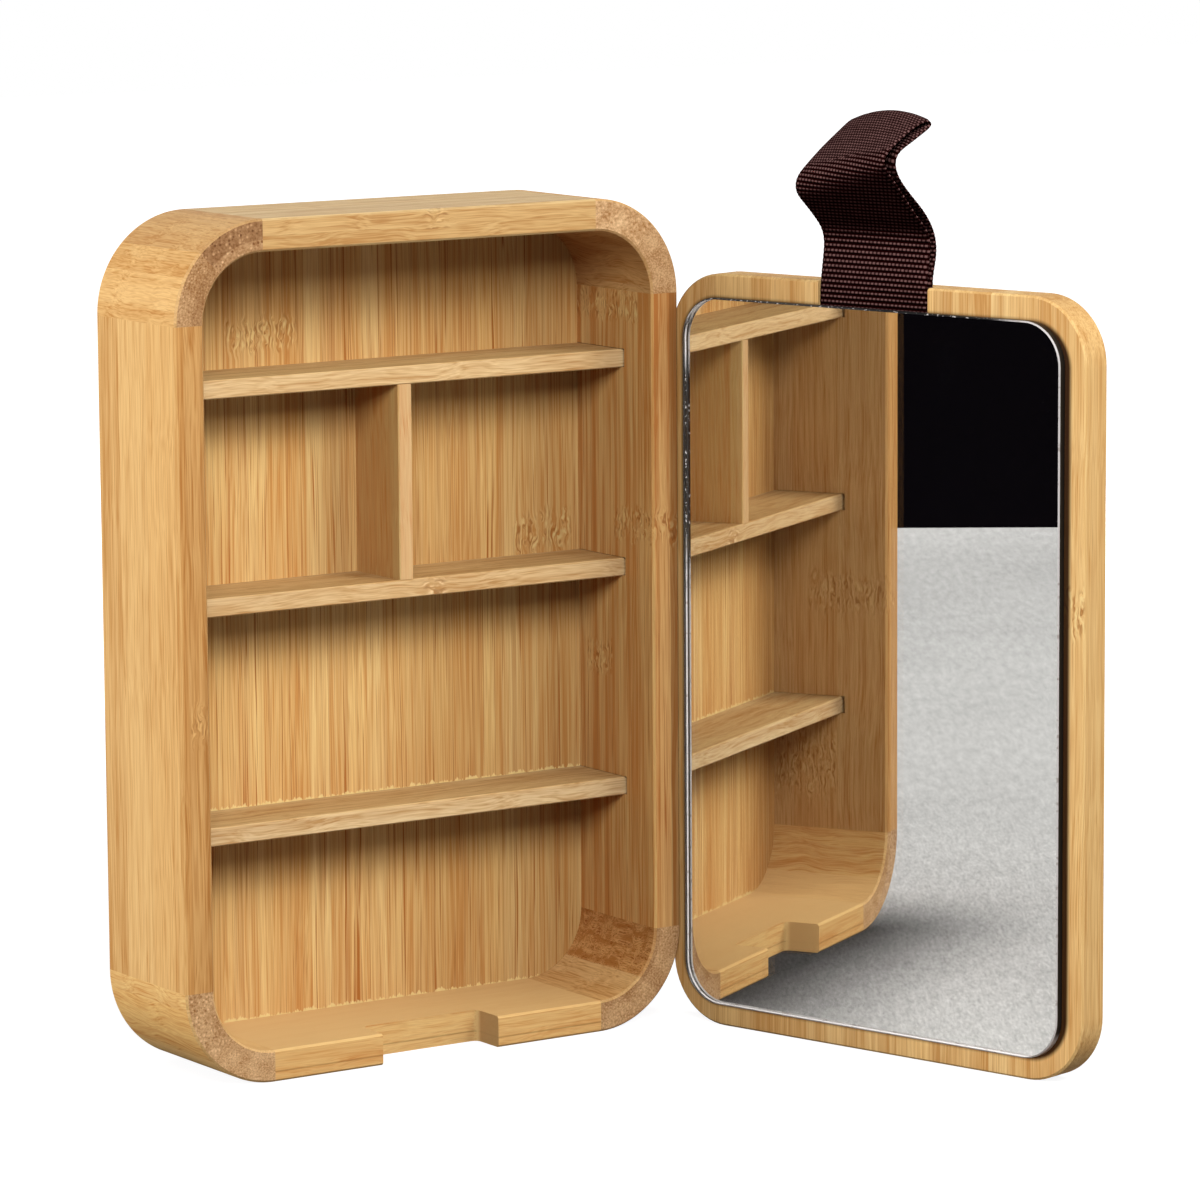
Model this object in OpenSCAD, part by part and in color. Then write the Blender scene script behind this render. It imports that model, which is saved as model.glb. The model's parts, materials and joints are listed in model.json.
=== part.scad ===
// Bamboo storage box with shelves and a loose mirror lid.
// The box stands on its underside with its open front towards -Y.
// The lid is shown lifted out: it stands beside the box on its own end, mirror inwards.
// Origin: centre of the box's underside. +Y points to the back, +Z up. Millimetres.

/* [Box frame] */
// Outside width of the box
box_w = 165; // [130:1:240]
// Outside height of the box
box_h = 240; // [228:1:320]
// Outside depth of the box, front to back
box_d = 43.5; // [36:0.5:80]
// Thickness of the rails, the stiles and the corner blocks
wall = 9; // [7:0.5:12]
// Outside radius of the rounded corners, which is also the size of a corner
corner_r = 28; // [22:0.5:36]
// Angle at which the two blocks of a corner meet, from the stile
corner_mitre = 45; // [30:1:60]
// Width of the small bevel on the frame's exposed edges
frame_ease = 0.6; // [0.2:0.1:1.2]

/* [Back panel] */
// Thickness of the back panel
panel_t = 5; // [3:0.5:8]
// How much wider the panel's corner radius is than the opening's, so that the corner goes in
panel_corner_gap = 0.1; // [0.05:0.05:0.4]

/* [Shelves and divider] */
// Thickness of a shelf
shelf_t = 5.2; // [3.5:0.1:8]
// Depth from the frame's front face to the shelf fronts, which leaves room for the lid
shelf_recess = 15.4; // [14.5:0.1:20]
// Clear height of the top bay. The bottom bay takes what the other bays leave.
top_bay_h = 36; // [25:0.1:40]
// Clear height of the bay that the divider splits
split_bay_h = 55.3; // [35:0.1:60]
// Clear height of the bay under that one
lower_bay_h = 59; // [35:0.1:64]
// Thickness of the upright divider
divider_t = 4.5; // [3:0.1:8]
// Place of the divider's middle, as a share of the inside width from the left
divider_place_share = 0.5; // [0.25:0.01:0.75]
// Width of the small bevel on the front edges of the shelves and the divider
shelf_ease = 0.3; // [0.1:0.05:0.8]
// Depth of the housings that hold the shelf ends in the stiles
housing_depth = 2; // [1:0.1:4]
// Clearance above a shelf and at its ends in the housings
housing_gap = 0.15; // [0.05:0.05:0.4]
// How far a housing runs on in front of its shelf
housing_nose = 1.2; // [0.4:0.1:3]

/* [Strap notch] */
// Width of the notch in the front edge of the bottom rail
notch_w = 38.6; // [30:0.1:50]
// Depth of the notch, front to back
notch_depth = 11.4; // [9:0.1:16]
// Radius of the notch's two inner corners
notch_r = 2; // [0.5:0.1:4]

/* [Lid] */
// Thickness of the lid panel
lid_t = 10; // [8:0.1:11]
// Gap between the lid and a stile when the lid is in the box
lid_side_gap = 0.2; // [0.2:0.1:1.5]
// Gap between the lid and the top or bottom rail when the lid is in the box
lid_end_gap = 2; // [0.5:0.1:4]
// Width of the small bevel all round the lid
lid_ease = 0.6; // [0.2:0.1:1.2]

/* [Lid as it stands] */
// Turn of the lid's width from the box's front plane, towards the front
lid_turn = 74.6; // [60:0.1:90]
// Gap between the lid's inner edge and the outside of the right stile
lid_stand_off = 0.3; // [0.3:0.1:3]
// Distance from the box's front face back to where the lid's inner edge stands
lid_set_back = 4.2; // [4:0.1:12]

/* [Mirror] */
// Width of the lid's bare border round the mirror
mirror_border = 6.7; // [4:0.1:12]
// Thickness of the mirror's glass
glass_t = 2.8; // [2:0.1:4]
// Thickness of the silver and its backing paint
silver_t = 0.2; // [0.1:0.05:0.5]
// Width of the ground bevel round the glass
glass_ease = 0.4; // [0.2:0.05:1]

/* [Pull strap] */
// Width of the webbing
strap_w = 38; // [25:0.5:45]
// Thickness of one layer of webbing
strap_t = 1.5; // [1:0.1:1.5]
// Gap between the two layers where they lie in the lid
tail_gap = 0.1; // [0.05:0.05:0.2]
// Gap between the two layers in the open loop
loop_gap = 1.7; // [1:0.1:4]
// Depth of the channel that holds the strap in the lid's inner face
channel_depth = 3.4; // [3.3:0.1:6]
// Gap beside the strap and below it in the channel
channel_gap = 0.3; // [0.1:0.1:1]
// How far the strap reaches down behind the mirror
tail_hidden = 16; // [8:1:40]
// Radius of the bends of the loop, at the middle between its layers
bend_r = 4; // [3.5:0.1:7]
// Length of the loop's upright part
stem_len = 11.5; // [5:0.5:20]
// Length of the part that leans forwards, between its bends
fore_len = 17; // [8:0.5:30]
// Length of the part that leans back, up to the folded end
back_len = 19.5; // [8:0.5:35]
// Lean of the upright part towards the back
stem_lean = 6; // [0:1:15]
// Lean of the forward part from upright
fore_lean = 48; // [20:1:60]
// Lean of the backward part from upright
back_lean = 58; // [20:1:75]
// Clearance between the loop's rounded foot and the webbing in the lid
knuckle_gap = 0.2; // [0.1:0.05:0.5]

/* [Hidden] */
$fn = 96;

// One overrun for every cut
over = 1;

// Frame
inner_r = corner_r - wall;
inner_w = box_w - 2 * wall;
inner_h = box_h - 2 * wall;
front_y = -box_d / 2;
back_y = box_d / 2;
panel_y = back_y - panel_t;

// Shelves: each value is the height of a shelf's underside
shelf_y = front_y + shelf_recess;
shelf_d = panel_y - shelf_y;
top_shelf_z = box_h - wall - top_bay_h - shelf_t;
middle_shelf_z = top_shelf_z - split_bay_h - shelf_t;
bottom_shelf_z = middle_shelf_z - lower_bay_h - shelf_t;
shelf_zs = [bottom_shelf_z, middle_shelf_z, top_shelf_z];
shelf_len = inner_w + 2 * (housing_depth - housing_gap);
divider_x = -inner_w / 2 + inner_w * divider_place_share;

// Lid, in its own frame: x along the width, y from the inner face outwards, z up
lid_w = inner_w - 2 * lid_side_gap;
lid_h = inner_h - 2 * lid_end_gap;
lid_r = inner_r - lid_side_gap;
lid_x = box_w / 2 + lid_stand_off;
lid_y = front_y + lid_set_back;
mirror_w = lid_w - 2 * mirror_border;
mirror_h = lid_h - 2 * mirror_border;
mirror_r = lid_r - mirror_border;

// Strap: the two layers together, in the lid and in the loop
tail_t = 2 * strap_t + tail_gap;
loop_t = 2 * strap_t + loop_gap;
channel_w = strap_w + 2 * channel_gap;
tail_z = lid_h - mirror_border - tail_hidden;
strap_y = channel_depth - tail_t / 2;
knuckle_z = lid_h + knuckle_gap + tail_t / 2;

// Loop: the line midway between the layers, as a heading that changes along its length
fore_bend = bend_r * (stem_lean + fore_lean) * PI / 180;
back_bend = bend_r * (fore_lean + back_lean) * PI / 180;
stop_1 = stem_len;
stop_2 = stop_1 + fore_bend;
stop_3 = stop_2 + fore_len;
stop_4 = stop_3 + back_bend;
loop_len = stop_4 + back_len;
loop_steps = 56;
tip_steps = 10;
loop_step = loop_len / loop_steps;
// Part of the stem's length over which the layers part
opening_share = 0.8;

// Share of the way from one length to another, held between 0 and 1
function ramp(s, from, to) = max(0, min(1, (s - from) / (to - from)));

// Lean of the midline at length s, in degrees, positive towards the lid's outer side
function lean(s) = stem_lean - (stem_lean + fore_lean) * ramp(s, stop_1, stop_2)
    + (fore_lean + back_lean) * ramp(s, stop_3, stop_4);

// Points of the midline, each one step on from the last at the lean halfway between
function midline() = [for (i = 0, p = [strap_y, knuckle_z]; i <= loop_steps;
    p = p + loop_step * [sin(lean((i + 1 / 2) * loop_step)), cos(lean((i + 1 / 2) * loop_step))],
    i = i + 1) p];

// Half the thickness of the pair of layers at length s
function half_t(s) = (tail_t + (loop_t - tail_t) * (1 - cos(180 * ramp(s, 0, stem_len * opening_share))) / 2) / 2;

// Outline of the pair, less an inset: down the front, round the tip and the foot
function loop_outline(inset) = let (mid = midline(), end = mid[loop_steps], end_lean = lean(loop_len),
        tip = half_t(loop_len) - inset) concat(
    [for (i = [0:loop_steps]) let (s = i * loop_step)
        mid[i] - (half_t(s) - inset) * [cos(lean(s)), -sin(lean(s))]],
    [for (i = [1:tip_steps - 1]) let (a = 180 * i / tip_steps + end_lean)
        end + tip * [-cos(a), sin(a)]],
    [for (i = [loop_steps:-1:0]) let (s = i * loop_step)
        mid[i] + (half_t(s) - inset) * [cos(lean(s)), -sin(lean(s))]],
    [for (i = [1:tip_steps - 1]) let (a = 180 * i / tip_steps + stem_lean)
        mid[0] + (half_t(0) - inset) * [cos(a), -sin(a)]]);

// Section of a frame member: x from its inner to its outer face, y from front to back.
// Three edges are eased, and the inner back edge meets the panel.
module frame_section() {
    polygon([[frame_ease, 0], [wall - frame_ease, 0], [wall, frame_ease],
        [wall, box_d - frame_ease], [wall - frame_ease, box_d], [0, box_d], [0, frame_ease]]);
}

// Straight frame member along Z with its inner face on x = 0
module frame_bar(length) {
    translate([0, front_y, -length / 2]) linear_extrude(length) frame_section();
}

// Turn of the frame at the lower right corner, axis along Y through the origin.
// Both angles are measured from the stile towards the rail.
module frame_turn(from, to) {
    translate([0, front_y, 0]) rotate([-90, 0, 0]) rotate([0, 0, from])
        rotate_extrude(angle = to - from) translate([inner_r, 0]) frame_section();
}

// Puts a corner's block in place: side is 1 on the right and -1 on the left, level is 1 at the top
module corner_place(side, level) {
    mirror([side < 0 ? 1 : 0, 0, 0])
        translate([box_w / 2 - corner_r, 0, level > 0 ? box_h - corner_r : corner_r])
            mirror([0, 0, level > 0 ? 1 : 0]) children();
}

// Block between a rail and the corner's mitre
module rail_corner(side, level) {
    corner_place(side, level) frame_turn(corner_mitre, 90);
}

// Block between a stile and the corner's mitre
module stile_corner(side, level) {
    corner_place(side, level) frame_turn(0, corner_mitre);
}

// Rectangle with its front edges eased: x from front to back, y across
module eased_front(depth, across, ease) {
    polygon([[0, ease], [ease, 0], [depth, 0], [depth, across], [ease, across], [0, across - ease]]);
}

// Rectangle eased at all four corners
module eased_rect(w, t, ease) {
    polygon([[ease, 0], [w - ease, 0], [w, ease], [w, t - ease], [w - ease, t], [ease, t],
        [0, t - ease], [0, ease]]);
}

// Half of that section, for turning about its own axis
module eased_half(r, t, ease) {
    polygon([[0, 0], [r - ease, 0], [r, ease], [r, t - ease], [r - ease, t], [0, t]]);
}

// Upright plate with round corners and eased edges: x and z in its face, y through it
module eased_plate(w, h, t, r, ease) {
    union() {
        translate([0, 0, r]) linear_extrude(h - 2 * r) eased_rect(w, t, ease);
        translate([w - r, 0, 0]) rotate([0, -90, 0]) linear_extrude(w - 2 * r) eased_rect(h, t, ease);
        for (x = [r, w - r], z = [r, h - r])
            translate([x, 0, z]) rotate([-90, 0, 0]) rotate_extrude() eased_half(r, t, ease);
    }
}

// Rectangle with round corners
module round_rect(w, h, r) {
    union() {
        translate([r, 0]) square([w - 2 * r, h]);
        translate([0, r]) square([w, h - 2 * r]);
        for (x = [r, w - r], y = [r, h - r]) translate([x, y]) circle(r);
    }
}

// Upright plate with round corners and square edges
module round_plate(w, h, t, r) {
    translate([0, t, 0]) rotate([90, 0, 0]) linear_extrude(t) round_rect(w, h, r);
}

// Housings of all shelf ends, cut from x = 0 into the right stile
module housings() {
    for (z = shelf_zs)
        translate([-over, shelf_y - housing_nose, z])
            cube([over + housing_depth, housing_nose + shelf_d, shelf_t + housing_gap]);
}

// Straight part of one side of the frame, with its housings
module stile() {
    difference() {
        translate([inner_w / 2, 0, box_h / 2]) frame_bar(box_h - 2 * corner_r);
        translate([inner_w / 2, 0, 0]) housings();
    }
}

// Plan of the notch: square at the front, round in its two inner corners
module notch_plan() {
    union() {
        translate([-notch_w / 2, -over]) square([notch_w, over + notch_depth - notch_r]);
        translate([notch_r - notch_w / 2, -over])
            square([notch_w - 2 * notch_r, over + notch_depth]);
        for (side = [-1, 1])
            translate([side * (notch_w / 2 - notch_r), notch_depth - notch_r]) circle(notch_r);
    }
}

// Shelf with its underside at height z
module shelf(z) {
    translate([shelf_len / 2, shelf_y, z]) rotate([90, 0, -90])
        linear_extrude(shelf_len) mirror([1, 0]) eased_front(shelf_d, shelf_t, shelf_ease);
}

// Puts a piece of the lid where the lid stands
module lid_place() {
    translate([lid_x, lid_y, 0]) rotate([0, 0, -lid_turn]) children();
}

module top_rail() {
    color("burlywood") translate([0, 0, box_h - wall]) rotate([0, -90, 0])
        frame_bar(box_w - 2 * corner_r);
}

module bottom_rail() {
    color("burlywood") difference() {
        translate([0, 0, wall]) rotate([0, 90, 0]) frame_bar(box_w - 2 * corner_r);
        translate([0, front_y, -over]) linear_extrude(wall + 2 * over) notch_plan();
    }
}

module left_stile() {
    color("burlywood") mirror([1, 0, 0]) stile();
}

module right_stile() {
    color("burlywood") stile();
}

module top_left_rail_corner() {
    color("peru") rail_corner(-1, 1);
}

module top_left_stile_corner() {
    color("chocolate") stile_corner(-1, 1);
}

module top_right_rail_corner() {
    color("peru") rail_corner(1, 1);
}

module top_right_stile_corner() {
    color("chocolate") stile_corner(1, 1);
}

module bottom_left_rail_corner() {
    color("peru") rail_corner(-1, -1);
}

module bottom_left_stile_corner() {
    color("chocolate") stile_corner(-1, -1);
}

module bottom_right_rail_corner() {
    color("peru") rail_corner(1, -1);
}

module bottom_right_stile_corner() {
    color("chocolate") stile_corner(1, -1);
}

module back_panel() {
    color("sandybrown") translate([-inner_w / 2, panel_y, wall])
        round_plate(inner_w, inner_h, panel_t, inner_r + panel_corner_gap);
}

module top_shelf() {
    color("tan") shelf(top_shelf_z);
}

module middle_shelf() {
    color("tan") shelf(middle_shelf_z);
}

module bottom_shelf() {
    color("tan") shelf(bottom_shelf_z);
}

module divider() {
    color("tan") translate([divider_x + divider_t / 2, shelf_y, middle_shelf_z + shelf_t])
        linear_extrude(split_bay_h) rotate([0, 0, 90]) eased_front(shelf_d, divider_t, shelf_ease);
}

module lid_panel() {
    color("burlywood") lid_place() difference() {
        eased_plate(lid_w, lid_h, lid_t, lid_r, lid_ease);
        translate([lid_w / 2 - channel_w / 2, -over, tail_z - channel_gap])
            cube([channel_w, over + channel_depth, lid_h + over - tail_z + channel_gap]);
    }
}

module mirror_glass() {
    color("lightcyan") lid_place()
        translate([mirror_border, -silver_t - glass_t, mirror_border])
            eased_plate(mirror_w, mirror_h, glass_t, mirror_r, glass_ease);
}

module mirror_silver() {
    color("silver") lid_place()
        translate([mirror_border + glass_ease, -silver_t, mirror_border + glass_ease])
            round_plate(mirror_w - 2 * glass_ease, mirror_h - 2 * glass_ease, silver_t,
                mirror_r - glass_ease);
}

module strap_tail() {
    color("saddlebrown") lid_place()
        translate([lid_w / 2 - strap_w / 2, channel_depth - tail_t, tail_z])
            cube([strap_w, tail_t, lid_h - tail_z]);
}

module strap_loop() {
    color("saddlebrown") lid_place()
        translate([lid_w / 2 + strap_w / 2, 0, 0]) rotate([90, 0, -90])
            linear_extrude(strap_w) mirror([1, 0]) difference() {
                polygon(loop_outline(0));
                polygon(loop_outline(strap_t));
            }
}

top_rail();
bottom_rail();
left_stile();
right_stile();
top_left_rail_corner();
top_left_stile_corner();
top_right_rail_corner();
top_right_stile_corner();
bottom_left_rail_corner();
bottom_left_stile_corner();
bottom_right_rail_corner();
bottom_right_stile_corner();
back_panel();
top_shelf();
middle_shelf();
bottom_shelf();
divider();
lid_panel();
mirror_glass();
mirror_silver();
strap_tail();
strap_loop();
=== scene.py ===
import json
import math

import bpy
import numpy as np
from mathutils import Matrix, Vector


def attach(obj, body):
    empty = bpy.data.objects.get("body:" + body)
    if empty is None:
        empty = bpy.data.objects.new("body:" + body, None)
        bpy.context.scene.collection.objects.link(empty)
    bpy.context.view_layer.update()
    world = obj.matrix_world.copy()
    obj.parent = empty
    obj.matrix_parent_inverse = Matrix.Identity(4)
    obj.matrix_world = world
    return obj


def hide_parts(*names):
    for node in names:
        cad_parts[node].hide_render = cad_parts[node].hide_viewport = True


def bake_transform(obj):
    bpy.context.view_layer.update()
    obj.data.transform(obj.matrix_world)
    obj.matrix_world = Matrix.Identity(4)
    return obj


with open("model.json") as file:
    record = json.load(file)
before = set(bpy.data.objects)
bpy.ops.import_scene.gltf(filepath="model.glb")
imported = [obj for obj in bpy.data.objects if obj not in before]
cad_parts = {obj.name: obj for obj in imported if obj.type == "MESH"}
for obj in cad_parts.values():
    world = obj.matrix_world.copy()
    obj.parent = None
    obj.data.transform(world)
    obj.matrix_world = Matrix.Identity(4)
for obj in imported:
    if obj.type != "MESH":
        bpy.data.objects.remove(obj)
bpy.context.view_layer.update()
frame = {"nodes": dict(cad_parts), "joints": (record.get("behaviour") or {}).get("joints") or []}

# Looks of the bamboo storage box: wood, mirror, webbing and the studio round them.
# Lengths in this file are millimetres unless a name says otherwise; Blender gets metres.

MM = 0.001

bl_info = {
    "name": "Bamboo Storage Box",
    "version": (1, 0, 0),
    "blender": (4, 5, 0),
    "location": "View3D > Sidebar > Storage Box",
    "description": "Wood, mirror, webbing and studio for the bamboo storage box",
    "category": "Object",
}


# The packed model

NODES = frame["nodes"]
FLEX = next(j for j in frame["joints"] if j["name"] == "strap_flex")
LID_U = Vector(FLEX["axis"]).normalized()      # along the lid's width
LID_V = Vector((-LID_U.y, LID_U.x, 0))         # from the lid's inner face outwards
DEPTH = Vector((0, 1, 0))                      # from the box's open front to its back
UP = Vector((0, 0, 1))


def extent(node, axis):
    """Lowest and highest reach of a CAD node along an axis, in metres."""
    reach = [v.co.dot(axis) for v in NODES[node].data.vertices]
    return min(reach), max(reach)


def span(node, axis):
    """Lowest and highest reach of a CAD node along an axis, in millimetres."""
    return [reach / MM for reach in extent(node, axis)]


LID_EDGE = extent("lid_panel", LID_U)[0]
LID_FACE = extent("lid_panel", LID_V)[0]
LID_MIDDLE = (Vector(FLEX["pos_m"]).dot(LID_U) - LID_EDGE) / MM
LID_ANGLE = math.atan2(LID_U.y, LID_U.x)


def at_lid(u, v, z):
    """Point in metres from the lid's own millimetres: width, outwards, up."""
    return LID_U * (LID_EDGE + u * MM) + LID_V * (LID_FACE + v * MM) + UP * (z * MM)


# Settings

def colour(name, description, default):
    """Colour setting, given as it looks on screen."""
    return bpy.props.FloatVectorProperty(
        name=name, description=description, subtype="COLOR_GAMMA", size=3,
        min=0, max=1, default=[c / 255 for c in default])


def millimetres(name, description, default):
    """Length setting, kept in metres as Blender shows it."""
    return bpy.props.FloatProperty(
        name=name, description=description, default=default * MM, min=0,
        unit="LENGTH", subtype="DISTANCE", precision=5)


def share(name, description, default):
    """Setting between 0 and 1."""
    return bpy.props.FloatProperty(
        name=name, description=description, default=default, min=0, max=1, subtype="FACTOR")


def power(name, description, default):
    """Power of a light."""
    return bpy.props.FloatProperty(
        name=name, description=description, default=default, min=0, unit="POWER")


class BambooSettings(bpy.types.PropertyGroup):
    """Colours and sizes of the bamboo."""
    light: colour("Light strips", "Palest tone of the sanded bamboo", (250, 208, 142))
    dark: colour("Dark strips", "Deepest tone of the sanded bamboo", (203, 146, 82))
    streak: colour("Streaks", "Colour of the fine dark fibres", (180, 112, 52))
    end_light: colour("End grain", "Palest tone where the fibres are cut across", (217, 174, 126))
    end_dark: colour("End grain pores", "Deepest tone of the cut fibres", (150, 99, 53))
    strip_width: millimetres("Strip width", "Width of one strip in the glued boards", 6.5)
    ply: millimetres("Ply", "Thickness of one layer in the frame members", 4.4)


class MirrorSettings(bpy.types.PropertyGroup):
    """The glass and its silver."""
    tint: colour("Glass tint", "Colour of the glass seen through", (249, 249, 249))
    silver: colour("Silver", "Colour of the silvered back", (242, 242, 240))
    frost: colour("Frost", "Colour of the ground edge of the glass", (205, 200, 198))
    smudge: colour("Smudges", "Colour of the smudges on the ground edge", (128, 108, 96))
    edge_roughness: share("Ground edge", "Roughness of the ground edge of the glass", 0.4)


class StrapSettings(bpy.types.PropertyGroup):
    """The webbing loop."""
    yarn: colour("Yarn", "Colour of the webbing's yarn", (124, 90, 87))
    width: millimetres("Width", "Width of the webbing", 38)
    thickness: millimetres("Thickness", "Thickness of one layer, ribs included", 1.45)
    rib_pitch: millimetres("Rib pitch", "Distance from one rib to the next", 1.43)
    rib_height: millimetres("Rib height", "Height of a rib over the groove beside it", 0.4)
    thread_height: millimetres("Thread height", "How far single threads stray from a rib", 0.05)


class StudioSettings(bpy.types.PropertyGroup):
    """Light, floor and camera."""
    key_power: power("Key power", "Power of the light at the front left", 10.0)
    fill_power: power("Fill power", "Power of the light at the front right", 7.2)
    side_power: power("Side power", "Power of the light at the left", 9.9)
    rear_power: power("Rear power", "Power of the light behind the box", 8.0)
    table: colour("Table", "Colour of the floor as the mirror shows it", (196, 195, 193))
    bounce: colour("Bounce", "Colour of the floor as it lights the box from below", (126, 122, 116))


SETTINGS = {
    "box_bamboo": BambooSettings,
    "box_mirror": MirrorSettings,
    "box_strap": StrapSettings,
    "box_studio": StudioSettings,
}


def linear(rgb):
    """Screen colour to the linear colour that shaders take."""
    return [c / 12.92 if c <= 0.04045 else ((c + 0.055) / 1.055) ** 2.4 for c in rgb]


def shade(rgb, factor=1.0):
    """Linear colour with alpha, lightened or darkened by a factor."""
    return (*[min(1.0, c * factor) for c in linear(rgb)], 1.0)


def warm(rgb, tone, warmth):
    """Linear colour made lighter by tone, and redder where warmth is over 1."""
    r, g, b = linear(rgb)
    return (min(1.0, r * tone), min(1.0, g * tone / warmth), min(1.0, b * tone / warmth ** 2), 1.0)


# Node nets

class Value:
    """One output in a node net. Sums and products of values add math nodes to it."""

    def __init__(self, net, socket):
        self.net, self.socket = net, socket

    def __add__(self, other):
        return self.net.math("ADD", self, other)

    def __sub__(self, other):
        return self.net.math("SUBTRACT", self, other)

    def __rsub__(self, other):
        return self.net.math("SUBTRACT", other, self)

    def __mul__(self, other):
        return self.net.math("MULTIPLY", self, other)

    def __truediv__(self, other):
        return self.net.math("DIVIDE", self, other)

    def __abs__(self):
        return self.net.math("ABSOLUTE", self)


class Net:
    """Adds and links nodes in one shader or geometry tree."""

    def __init__(self, tree):
        self.tree = tree

    def put(self, socket, value):
        """Links or sets one input."""
        value = getattr(value, "socket", value)
        if isinstance(value, bpy.types.NodeSocket):
            self.tree.links.new(value, socket)
        elif value is not None:
            socket.default_value = value

    def add(self, kind, *values, named=None, out=0, **settings):
        """New node with its settings and inputs, in order or by name; returns one output."""
        node = self.tree.nodes.new(kind)
        for key, value in settings.items():
            setattr(node, key, value)
        for socket, value in zip(node.inputs, values):
            self.put(socket, value)
        for key, value in (named or {}).items():
            self.put(node.inputs[key], value)
        return node if out is None or not node.outputs else Value(self, node.outputs[out])

    def math(self, operation, *values, clamp=False):
        return self.add("ShaderNodeMath", *values, operation=operation, use_clamp=clamp)

    def clamped(self, value):
        return self.math("ADD", value, 0.0, clamp=True)

    def larger(self, a, b):
        return self.math("MAXIMUM", a, b)

    def vector(self, operation, *values, out=0):
        return self.add("ShaderNodeVectorMath", *values, operation=operation, out=out)

    def length(self, vector):
        return self.vector("LENGTH", vector, out=1)

    def along(self, vector, axis):
        """How far a vector reaches along an axis."""
        return self.vector("DOT_PRODUCT", vector, axis, out=1)

    def scaled(self, vector, x, y, z):
        return self.vector("MULTIPLY", vector, (x, y, z))

    def join(self, x, y, z):
        return self.add("ShaderNodeCombineXYZ", x, y, z)

    def axes(self, vector):
        """The three parts of a vector."""
        node = self.add("ShaderNodeSeparateXYZ", vector, out=None)
        return [Value(self, output) for output in node.outputs]

    def normal(self):
        return self.add("ShaderNodeNewGeometry", out="Normal")

    def noise(self, vector, scale=1.0, detail=2.0, roughness=0.5, distortion=0.0):
        return self.add("ShaderNodeTexNoise", named={
            "Vector": vector, "Scale": scale, "Detail": detail,
            "Roughness": roughness, "Distortion": distortion})

    def random(self, vector, out=0):
        return self.add("ShaderNodeTexWhiteNoise", vector, noise_dimensions="3D", out=out)

    def step(self, value, low, high):
        """0 below low, 1 above high, smooth between them."""
        return self.add("ShaderNodeMapRange", value, low, high, 0.0, 1.0,
                        interpolation_type="SMOOTHSTEP")

    def within(self, value, low, high, soft):
        """Mask of the values between two limits."""
        return self.step(value, low - soft, low + soft) * self.step(value, high + soft, high - soft)

    def blend(self, factor, a, b, mode="MIX"):
        """Mix of two colours."""
        node = self.tree.nodes.new("ShaderNodeMix")
        node.data_type, node.blend_type = "RGBA", mode
        for index, value in ((0, factor), (6, a), (7, b)):
            self.put(node.inputs[index], value)
        return Value(self, node.outputs[2])

    def dyed(self, a, b, factor=1.0):
        """Colour multiplied by another."""
        return self.blend(factor, a, b, "MULTIPLY")


def new_group(name, inputs, outputs, kind="ShaderNodeTree"):
    """Node group with named sockets; returns its net, its inputs by name and its output sockets."""
    tree = bpy.data.node_groups.new(name, kind)
    for direction, sockets in (("INPUT", inputs), ("OUTPUT", outputs)):
        for label, socket in sockets.items():
            tree.interface.new_socket(label.replace("_", " "), in_out=direction,
                                      socket_type="NodeSocket" + socket)
    net = Net(tree)
    source = tree.nodes.new("NodeGroupInput").outputs
    sink = tree.nodes.new("NodeGroupOutput").inputs
    return net, {s.name.replace(" ", "_"): Value(net, s) for s in source}, sink


def use_group(net, name, **values):
    """Group node with its values; returns its outputs by name. Underscores stand for spaces."""
    node = net.tree.nodes.new("ShaderNodeGroup")
    node.node_tree = bpy.data.node_groups[name]
    for key, value in values.items():
        net.put(node.inputs[key.replace("_", " ")], value)
    return {output.name: Value(net, output) for output in node.outputs}


# Fibres to a millimetre, across the grain and along it
BROAD, FINE, HAIR, PORE = (0.36, 0.004), (1.45, 0.009), (2.7, 0.02), (1.25, 0.012)
# What the fine fibres and the hairs add to a strip's tone, and the tone round which it swings
FINE_WEIGHT, HAIR_WEIGHT, MIDDLE_TONE = 1.9, 1.4, 0.53
RUDDY = (1.0, 0.92, 0.80, 1)      # what the ruddier strips are dyed with


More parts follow.
